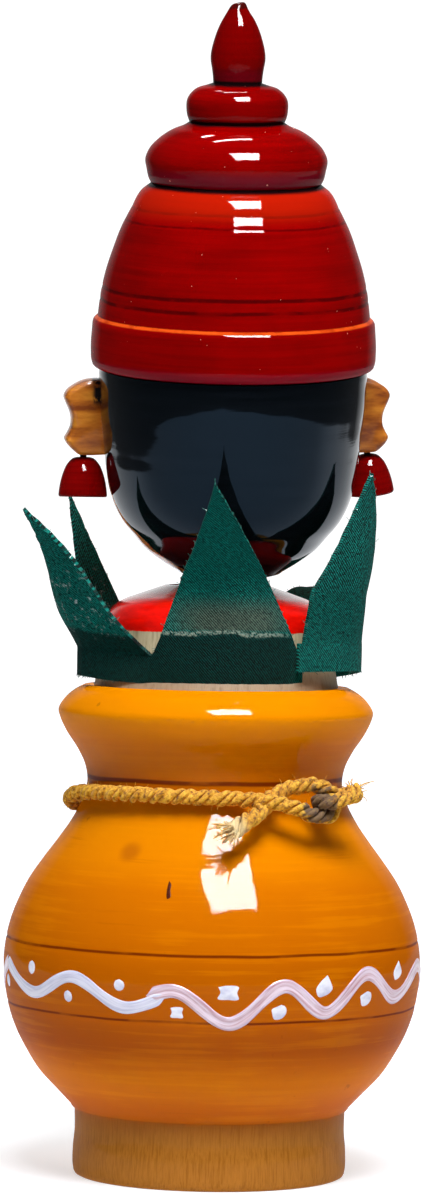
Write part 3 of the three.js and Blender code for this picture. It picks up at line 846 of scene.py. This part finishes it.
def spring_line():
    t = np.linspace(0, 1, SPRING_TURNS * POINTS_PER_TURN + 1)
    z = SPRING_FROM + (SPRING_TO - SPRING_FROM) * t
    tilt = HEAD_LEAN * smoothstep(z, BEND_FROM, BEND_TO)
    middle_x = HEAD_X * smoothstep(z, BEND_FROM, SHIFT_TO)
    middle_y = -np.maximum(0, z - HEAD_Z) * np.sin(tilt)
    turn = TURN * SPRING_TURNS * t
    deep = SPRING_R * np.sin(turn)
    x, y = middle_x + SPRING_R * np.cos(turn), middle_y + deep * np.cos(tilt)
    return np.column_stack([x, y, z + deep * np.sin(tilt)])


STEEL = steel_finish()
spring = bundle("neck_coil", [(spring_line(), WIRE_R)], STEEL, 8)
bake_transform(spring)
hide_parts("neck_spring")


# ---------- head, leaning back and turned a little ----------
HEAD_TURN = Euler((HEAD_LEAN, 0, 0)).to_matrix() @ Euler((0, 0, HEAD_YAW)).to_matrix()
HEAD_PLACE = Matrix.Translation(Vector((HEAD_X, 0, HEAD_Z)) * MM) @ HEAD_TURN.to_4x4()


def on_head(part, slot, *nodes):
    """Puts a piece made upright at the origin into its place on the head."""
    part.matrix_world = HEAD_PLACE @ part.matrix_world
    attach(part, "head_body")
    if nodes:
        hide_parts(*nodes)


HEAD_SIDE = [
    (8.4, 0.8), (10.6, 2.2), (13.3, 4.3), (15, 6.3), (16.7, 8.4), (17.9, 10.7), (18.65, 13),
    (19.2, 16), (19.6, 19.6), (20, 23.4), (20.35, 27), (20.5, 31.1),
]
HEAD_RUNS = [
    [(0, 7.8), (7.7, 7.8)],
    [(7.7, 0.8)],
    [(7.75, 0.4), (7.95, 0.45), HEAD_SIDE[0]],
    HEAD_SIDE[1:],
    [(20.4, 31.7)],
    [(16, 31.7)],
    [(16, 39.7)],
    [(0, 39.7)],
]
on_head(turned("head_turning", HEAD_RUNS, head_finish(), 144, 0.4), "black_lacquer", "head")

CROWN_RUNS = [
    [(0, 40), (16.3, 40)],
    [(16.3, 32)],
    [(20.9, 32)],
    [(21.35, 32.2), (21.6, 32.8), (21.75, 34.6), (21.55, 38.6)],
    [(21.4, 39.2), (21.1, 39.5), (20.75, 39.8)],
    [
        (20.64, 40.8), (20.23, 43.8), (19.52, 46.9), (18.52, 50), (17.42, 53),
        (15.93, 56), (14.2, 59), (13.3, 59.7), (12.9, 60),
    ],
    [
        (13.3, 60.8), (13.6, 62.1), (13.83, 63.6), (13.2, 65.2), (11.8, 66.7),
        (9.7, 68.1), (8, 68.8), (7.2, 69.3),
    ],
    [(7.55, 70.2), (7.7, 71.2), (7.6, 72.7), (6.3, 74.3), (4.6, 74.9), (3.7, 75.2)],
    [
        (3.75, 76), (3.9, 77.2), (4.15, 78.8), (3.6, 81.9), (2.4, 84.8), (1.4, 86.4),
        (0.7, 87.2), (0, 87.3),
    ],
]
CHIPPED_FROM, CHIPPED_TO = 84.5, 87
CROWN_GROOVES = ((56.5, 0.04, 0.2), (54.6, 0.02, 0.2), (44.2, 0.09, 0.24), (42.35, 0.07, 0.24))


def chipped_tip(points):
    """The bud's tip is knocked and uneven."""
    for i in np.nonzero(points[:, 2] > CHIPPED_FROM)[0]:
        x, y, z = points[i]
        share = smoothstep(z, CHIPPED_FROM, CHIPPED_TO)
        ragged = math.sin(2.1 * x + 1) * math.cos(2.3 * y) + math.sin(1.7 * (x - y))
        points[i] += np.array([0.1, -0.06, 0.08]) * share * ragged
    return points


crown_paint = red_finish(
    "crown_lacquer",
    rgb(110, 0, 0),
    rgb(140, 0, 0),
    lines=((56.5, 0.3, 0.75), (54.6, 0.24, 0.6), (44.2, 0.42, 0.8), (42.35, 0.4, 0.75)),
    black=((59.9, 0.55), (69.4, 0.55), (75.3, 0.6)),
    orange_edge=39.6,
    tip=85.4,
    shading_bands=(
        # Painted light: orange-red on the shoulder under the ring, which faces up.
        ((54.6, 57.6), (59.8, 59.3), 0.5, rgb(204, 36, 6)),
        # Painted shade under the big ring.
        ((60.2, 60.4), (63.1, 61.6), 0.55, rgb(84, 8, 34)),
        # Painted shade at the bud's waist, under its swell.
        ((75.5, 75.8), (78, 76.8), 0.5, rgb(72, 4, 24)),
        # Painted reflection of a pale backdrop, purple under the brim.
        ((31, 32), (34, 32.8), 0.4, rgb(120, 8, 40)),
    ),
)
crown = turned("crown_turning", CROWN_RUNS, crown_paint, 144, 0.35, CROWN_GROOVES, chipped_tip)
on_head(crown, "red_lacquer", "crown")


FACE_R = 19.6


def on_face(angle, z, lift):
    """A point lifted off the head, at an angle from the face's middle and a height."""
    side = np.array(HEAD_SIDE)
    r = float(np.interp(z, side[:, 1], side[:, 0])) + lift
    a = math.radians(angle)
    return np.array([r * math.sin(a), r * math.cos(a), z])


def face_patch(outline, height, mirror=False):
    """A painted patch on the face. Its outline is in mm across and up."""
    per_mm = 1 / math.radians(FACE_R)
    made = []
    for side in (1, -1) if mirror else (1,):
        shape = [(side * x, z) for x, z in closed_outline(outline)][::side]
        made.append(patch(shape, lambda x, z, lift: on_face(x * per_mm, z, lift), height=height))
    return made


EYE = [(3.3, 21.2), (5, 22.4), (7.2, 22.8), (9.4, 22.2), (11.2, 21.3), (9.2, 20.4), (7, 20), (4.9, 20.3)]
LID = [(2.7, 21.1), (4.8, 22.9), (7.2, 23.4), (9.8, 22.9), (12.4, 21.6), (9.4, 22.5), (7.2, 23), (5, 22.6)]
BROW = [(2.9, 25.2), (6, 26.7), (9.6, 26.6), (12.6, 25.2), (9.6, 26.1), (6, 26.1)]
UPPER_LIP = [(-3.4, 11.4), (-1.4, 12.4), (0, 12.1), (1.4, 12.4), (3.4, 11.4)]
LIPS = UPPER_LIP + [(1.6, 10.4), (0, 10.1), (-1.6, 10.4)]
CIRCLE = [(math.cos(a), math.sin(a)) for a in np.linspace(0, TURN, 12, endpoint=False)]
EYE_WHITE = paint_finish("eye_white", rgb(222, 216, 204), rgb(244, 240, 232), 0.6)
BLACK_PAINT = paint_finish("black_paint", rgb(10, 10, 11), rgb(22, 20, 20), 0.6)
LIP_PAINT = paint_finish("lip_paint", rgb(150, 14, 12), rgb(186, 26, 20), 0.6)
iris = [(7.2 + 1.35 * x, 21.4 + 1.35 * z) for x, z in CIRCLE]
dot = [(0.9 * x, 27.6 + 0.9 * z) for x, z in CIRCLE]
on_head(joined("eye_whites", face_patch(EYE, 0.07, True), EYE_WHITE), "face_paint")
dark_marks = face_patch(iris, 0.13, True) + face_patch(LID, 0.11, True) + face_patch(BROW, 0.08, True)
on_head(joined("eye_lines", dark_marks, BLACK_PAINT), "face_paint")
on_head(joined("lips_and_mark", face_patch(LIPS, 0.12) + face_patch(dot, 0.1), LIP_PAINT), "face_paint")


NOSE_Y, NOSE_Z = 19.9, 18.6
NOSE_HALF = (1.9, 3.1, 3.7)
NOSE_ROWS, NOSE_COLUMNS = 28, 40


def nose_shape():
    """An egg, wider below."""
    points = []
    for i in range(NOSE_ROWS + 1):
        for j in range(NOSE_COLUMNS):
            p, a = math.pi * i / NOSE_ROWS, TURN * j / NOSE_COLUMNS
            x = NOSE_HALF[0] * (1 - 0.25 * math.cos(p)) * math.sin(p) * math.cos(a)
            y = NOSE_Y + NOSE_HALF[1] * math.sin(p) * math.sin(a)
            points.append((x, y, NOSE_Z + NOSE_HALF[2] * math.cos(p)))
    return points, grid_faces(NOSE_ROWS + 1, NOSE_COLUMNS, wrap=True)


SKIN = paint_finish("skin_lacquer", SKIN_DARK, SKIN_LIGHT, (0.3, 0.3, 1.0), 0.2)
on_head(joined("nose_wedge", [nose_shape()], SKIN), "face_paint", "nose")


# ---------- ears and earrings ----------
EAR_OUTLINE = [
    (17.5, 18.3), (20, 18.15), (22, 18.15), (23.2, 18.3), (24, 18.9), (24.8, 19.8), (25.1, 20.5),
    (24.7, 21.3), (24.2, 22.4), (24.1, 23.4), (24.2, 24.2), (24.6, 25.3), (25.1, 26.4), (25.25, 27),
    (24.9, 27.8), (23.8, 28.7), (22, 29.5), (20.5, 29.7), (17.5, 29.4),
]
EAR_MIDDLE_Y = 4.6
EAR_ROUNDING = [(1.4, 0), (1.75, 0.18), (1.95, 0.45), (2, 0.7)]
EAR_LAYERS = [(-depth, drawn) for depth, drawn in reversed(EAR_ROUNDING)] + EAR_ROUNDING


def ear_mesh(name, side, material):
    """A sawn ear with rubbed edges. Each layer is [depth, how far its edge is drawn in]."""
    edge = curve(EAR_OUTLINE, 0.3)
    _, inward = across_of(edge)
    points = []
    for depth, drawn in EAR_LAYERS:
        inset = edge + inward * drawn
        swell = 0.12 * np.sin(edge[:, 1] * 1.1) * (depth / 2)
        points += [(side * x, EAR_MIDDLE_Y + depth + s, z) for (x, z), s in zip(inset, swell)]
    faces = closed_faces(len(EAR_LAYERS), len(edge))
    if side < 0:
        faces = [tuple(reversed(f)) for f in faces]
    return mesh_object(name, points, faces, material, 35)


BELL_RUNS = [
    [(0.95, 0.6), (0.95, -0.6)],
    [(1.9, -0.9), (2.5, -2), (2.9, -3.8), (3.1, -5.45)],
    [(3.3, -5.55), (3.62, -5.5)],
    [(3.74, -5.3), (3.72, -5), (3.5, -3.4), (3.1, -1.9), (2.4, -0.4), (1.5, 0.45), (0.95, 0.6)],
]
PIN_RUNS = [
    [(0, -2), (1, -2), (1.2, -1.8), (1.1, -1.6), (0.5, -1.4)],
    [(0.5, 0.95)],
    [(0.8, 1.05), (0.85, 1.25), (0.7, 1.4), (0.5, 1.45)],
    [(0.5, 4.4), (0, 4.7)],
]
EARRING_X, EARRING_Y, EARRING_Z = 22.2, 5, 17
RIGHT_BELL_TILT = math.radians(-6)
AMBER = ear_finish()
BELL_RED = red_finish("bell_lacquer", rgb(90, 0, 0), rgb(124, 2, 2), black=((0.9, 0.5),))
DOWEL_WOOD = paint_finish("dowel_wood", rgb(150, 110, 62), rgb(196, 156, 100), (2, 0.3, 2), 0.6)
for label, side in (("left", -1), ("right", 1)):
    on_head(ear_mesh(f"sawn_ear_{label}", side, AMBER), "ear_lacquer", f"ear_{label}")
    dowel_line = [(side * x, EAR_MIDDLE_Y, 24) for x in (15.5, 19, 22.8)]
    dowel = bundle(f"ear_peg_{label}", [(dowel_line, 1)], DOWEL_WOOD, 24)
    on_head(dowel, "plug_wood", f"ear_dowel_{label}")
    hang = HEAD_PLACE @ Matrix.Translation(Vector((side * EARRING_X, EARRING_Y, EARRING_Z)) * MM)
    pin = turned(f"bell_pin_{label}", PIN_RUNS, STEEL, 24, 0.15)
    pin.matrix_world = hang
    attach(pin, "head_body")
    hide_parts(f"earring_pin_{label}")
    bell = turned(f"bell_{label}", BELL_RUNS, BELL_RED, 64, 0.2)
    if side < 0:
        bell.matrix_world = Matrix.Translation(hang.translation)
    else:
        bell.matrix_world = hang @ Matrix.Rotation(RIGHT_BELL_TILT, 4, "Y")
    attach(bell, f"{label}_earring")
    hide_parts(f"earring_{label}")


# ---------- leaf collar: one felt strip ----------
# drift and leans list a height above the notches and degrees: round the doll, and out from upright.
# hollow above 1 draws the leaf's cut edges in.
COLLAR_R = 17.7
FELT_THICK = 0.6
FELT_MIDDLE = 0.5  # the middle of the cloth, off the plug
COLLAR_BOTTOM = 76
BAND_H = 4.3
NOTCHES = [42, -31, -100, -140, -193, -246, -319]
STRIP_START = 44.5
STRIP_LAP = 3
LEAVES = [
    dict(
        length=30.6, hollow=1.2, drift=[(0, 0), (32, -7)],
        leans=[(0, 12), (3, 14), (4.1, -10), (8, 0), (12, 28), (16, 40), (32, 42)],
    ),
    dict(
        length=24.6, hollow=1.35, drift=[(0, 0), (25, -2)],
        leans=[(0, 26), (4, 32), (8, 19), (14, 24), (19, 38), (25, 43)],
    ),
    dict(
        length=26.4, hollow=1.25, drift=[(0, 0), (27, -9.5)],
        leans=[(0, 22), (8.9, 26), (17.7, 28), (26.6, 30)],
    ),
    dict(
        length=22, hollow=1.1, drift=[(0, 0), (25, 0)],
        leans=[(0, 25), (5, 70), (11, 145), (22, 150)],
    ),
    dict(
        length=24, hollow=1.1, drift=[(0, 0), (25, 0)],
        leans=[(0, 15), (8.9, 38), (16, 138), (25, 146)],
    ),
    dict(
        length=26.2, hollow=1.05, drift=[(0, 0), (8, -14), (26, -16)],
        leans=[(0, 6), (5, 14), (11, 12), (17, 4), (26, 10)],
    ),
]
COLUMNS_PER_LEAF = 56
FELT_ROWS = 64
# Where the strip stands off the plug, in degrees and mm.
LEFT_BULGE = dict(at=-84, width=26, out=3, up=0.7)
RIGHT_BULGE = dict(at=-276, width=24, out=3.6)
LOOSE_END = dict(out=1.5, stands_off=(-317, -262), up=2.1, lifts=(-290, -230))
# Round the back leaf the band leans outwards, in degrees.
TUCK = dict(lean=12, at=4, reach=30, fade=8)


def looseness(angle):
    """How far the strip stands off the plug, and how far its hem is lifted."""
    bulges = (LEFT_BULGE, RIGHT_BULGE)
    left, right = (math.exp(-(((angle - b["at"]) / b["width"]) ** 2)) for b in bulges)
    lap = 1 - smoothstep(angle, *LOOSE_END["stands_off"])
    lifted = 1 - smoothstep(angle, *LOOSE_END["lifts"])
    out = LEFT_BULGE["out"] * left + RIGHT_BULGE["out"] * right + LOOSE_END["out"] * lap
    return out, LEFT_BULGE["up"] * left + LOOSE_END["up"] * lifted


def felt_stack(angle, along, cut):
    """Points up one column, as [r, z, lean, spread angle, height], from the hem to the cut edge.
    along counts leaves from the strip's start, and cut trims the edge a little."""
    index = min(int(along), len(LEAVES) - 1)
    leaf = LEAVES[index]
    middle = (NOTCHES[index] + NOTCHES[index + 1]) / 2
    peak = (1 - abs(2 * (along - index) - 1)) ** leaf["hollow"]
    height = BAND_H + leaf["length"] * peak * cut
    out, up = looseness(angle)
    lean_at, leans = zip(*leaf["leans"])
    drift_at, drifts = zip(*leaf["drift"])
    off_back = max(0.0, abs(angle - TUCK["at"]) - TUCK["reach"])
    tuck = TUCK["lean"] * math.exp(-((off_back / TUCK["fade"]) ** 2))
    r, z = COLLAR_R + FELT_MIDDLE + out, COLLAR_BOTTOM + up
    root_r = None
    rows = []
    step = height / (FELT_ROWS - 1)
    for i in range(FELT_ROWS):
        h = i * step
        climb = h - BAND_H
        lean = math.radians(tuck if climb < 0 else float(np.interp(climb, lean_at, leans)))
        if climb >= 0 and root_r is None:
            root_r = r
        share = 1 if climb <= 0 else min(1, root_r / r)
        drift = 0 if climb <= 0 else float(np.interp(climb, drift_at, drifts))
        rows.append((r, z, lean, middle + (angle - middle) * share + drift, h))
        r += step * math.sin(lean)
        z += step * math.cos(lean)
    return rows


def felt_collar(material):
    """The strip, and the middles of its cut edge and hem. Each column has its own angle."""
    columns = COLUMNS_PER_LEAF * len(LEAVES)
    angles = [STRIP_START, (STRIP_START + NOTCHES[0]) / 2]
    alongs = [0.0, 0.0]
    for j in range(columns + 1):
        alongs.append(j / COLUMNS_PER_LEAF)
        angles.append(float(np.interp(alongs[-1], range(len(NOTCHES)), NOTCHES)))
    end = NOTCHES[-1]
    angles += [end - STRIP_LAP / 2, end - STRIP_LAP]
    alongs += [float(len(LEAVES))] * 2
    front, behind, flat, edge = [], [], [], []
    for angle, along in zip(angles, alongs):
        ragged = 1 + random.uniform(-0.008, 0.008)
        for r, z, lean, spread, h in felt_stack(angle, along, ragged):
            puff = 0.05 * math.sin(0.9 * angle) * math.sin(0.5 * h)
            half = FELT_THICK / 2 + puff
            front.append(around(spread, r + half * math.cos(lean), z - half * math.sin(lean)))
            behind.append(around(spread, r - half * math.cos(lean), z + half * math.sin(lean)))
            flat.append(((STRIP_START - angle) * math.radians(COLLAR_R + FELT_MIDDLE), h))
        edge.append((front[-1] + behind[-1]) / 2)
    count, rows = len(angles), FELT_ROWS
    size = count * rows
    faces = grid_faces(count, rows)
    faces += [tuple(size + i for i in reversed(f)) for f in faces]
    for i in range(count - 1):
        a, b = i * rows, (i + 1) * rows
        faces.append((a, b, size + b, size + a)[::-1])
        top_a, top_b = a + rows - 1, b + rows - 1
        faces.append((top_a, top_b, size + top_b, size + top_a))
    for first, flip in ((0, 1), ((count - 1) * rows, -1)):
        for j in range(rows - 1):
            a = first + j
            faces.append((a, a + 1, size + a + 1, size + a)[::flip])
    made = mesh_object("felt_strip", front + behind, faces, material, 60)
    lay_out(made, "flat_cloth", flat)
    hem = [(front[i * rows] + behind[i * rows]) / 2 for i in range(count)]
    return made, edge, hem


def felt_fray(edge, hem, material):
    """Threads that stand out of the cut edge, upwards, and of the hem, downwards."""
    fibres = []
    for border, out, count in ((edge, 1, 520), (hem, -1, 160)):
        for _ in range(count):
            i = random.randrange(len(border) - 1)
            start = border[i] + (border[i + 1] - border[i]) * random.random()
            radial = unit(np.array([start[0], start[1], 0]))
            way = unit(np.array([0, 0, out]) + radial * random.uniform(-0.8, 0.8))
            way = unit(way + unit(border[i + 1] - border[i]) * random.uniform(-1.1, 1.1))
            start = start + radial * random.uniform(-0.4, 0.4) - way * 0.1
            length = random.uniform(0.2, 0.75)
            fibres.append((loose_fibre(start, way, length, 0.6, 4), 0.045))
    return bundle("felt_fray", fibres, material, 3)


FELT = felt_finish()
FELT_THREAD = paint_finish("felt_thread", rgb(2, 62, 54), rgb(24, 104, 92), 1, 0.9)
collar, leaf_edge, leaf_hem = felt_collar(FELT)
collar_fray = felt_fray(leaf_edge, leaf_hem, FELT_THREAD)
for part in (collar, collar_fray):
    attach(part, "pot_body")
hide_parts("leaf_collar")


# ---------- floor, lights and surroundings ----------
def floor_finish():
    """A pale floor that glows, as painted light, brighter under the doll and beyond it, as under a lit
    backdrop.
    """
    f = Finish("pale_floor", Roughness=0.9, Specular_IOR_Level=0.0)
    f.set("Base Color", rgb(192, 196, 202))
    y = f.axis("Y")
    glow = f.plus(f.remap(y, -90, 60, 0.22, 0.82), f.remap(y, 300, 1000, 0, 0.28))
    f.set("Emission Strength", glow)
    f.set("Emission Color", (1, 1, 1, 1))
    return f.material


# The near edge of the floor shows as an arc in the black lacquer of the head.
FLOOR_OUTLINE = [
    (-650, 560), (-440, 100), (-312, -94), (-250, -200), (-150, -290), (-50, -335), (100, -310),
    (278, -207), (395, -42), (520, 150), (640, 424), (1500, 4000), (-1500, 4000),
]
floor_points = [(x, y, 0) for x, y in FLOOR_OUTLINE]
floor = mesh_object("floor", floor_points, [tuple(range(len(floor_points)))], floor_finish())

LIGHT_TARGET = Vector((0, 0, 80)) * MM


def softbox(name, azimuth, elevation, distance, width, height, radiance):
    """A soft rectangular light. Azimuth is from the doll's back towards +X."""
    data = bpy.data.lights.new(name, "AREA")
    data.shape = "RECTANGLE"
    data.size, data.size_y = width, height
    data.energy = radiance * math.pi * width * height
    light = placed(name, data)
    a, e = math.radians(azimuth), math.radians(elevation)
    away = Vector((math.cos(e) * math.sin(a), -math.cos(e) * math.cos(a), math.sin(e)))
    light.location = LIGHT_TARGET + away * distance
    light.rotation_mode = "QUATERNION"
    light.rotation_quaternion = (-away).to_track_quat("-Z", "Y")
    return light


# Softboxes: [name, azimuth, elevation, distance, width, height, radiance], in degrees and metres.
# The key lights the doll, and the gloss boxes only show in its lacquer.
SOFTBOXES = (
    ("key", 9, 55, 0.9, 0.4, 0.42, 22.5),
    ("gloss_key", 15, 55, 0.92, 0.4, 0.42, 150),
    ("gloss_near", 15, 99, 0.92, 0.34, 0.05, 150),
    ("gloss_far", 15, 114, 0.92, 0.3, 0.05, 150),
)
for name, *settings in SOFTBOXES:
    light = softbox(name, *settings)
    light.visible_glossy, light.visible_diffuse = name != "key", name == "key"


def surroundings():
    """A white wall before the doll's face, and a darker room behind its back."""
    world = bpy.data.worlds.new("studio")
    world.use_nodes = True
    tree = world.node_tree
    coords = tree.nodes.new("ShaderNodeTexCoord")
    split = tree.nodes.new("ShaderNodeSeparateXYZ")
    remap = tree.nodes.new("ShaderNodeMapRange")
    tree.links.new(coords.outputs["Generated"], split.inputs[0])
    tree.links.new(split.outputs["Y"], remap.inputs["Value"])
    ranges = {"From Min": 0.74, "From Max": 0.97, "To Min": 0.1, "To Max": 1.15}
    for socket, value in ranges.items():
        remap.inputs[socket].default_value = value
    back = tree.nodes["Background"]
    back.inputs["Color"].default_value = (1, 1, 1, 1)
    tree.links.new(remap.outputs[0], back.inputs["Strength"])
    bpy.context.scene.world = world


surroundings()
bpy.context.scene.view_settings.view_transform = "Standard"
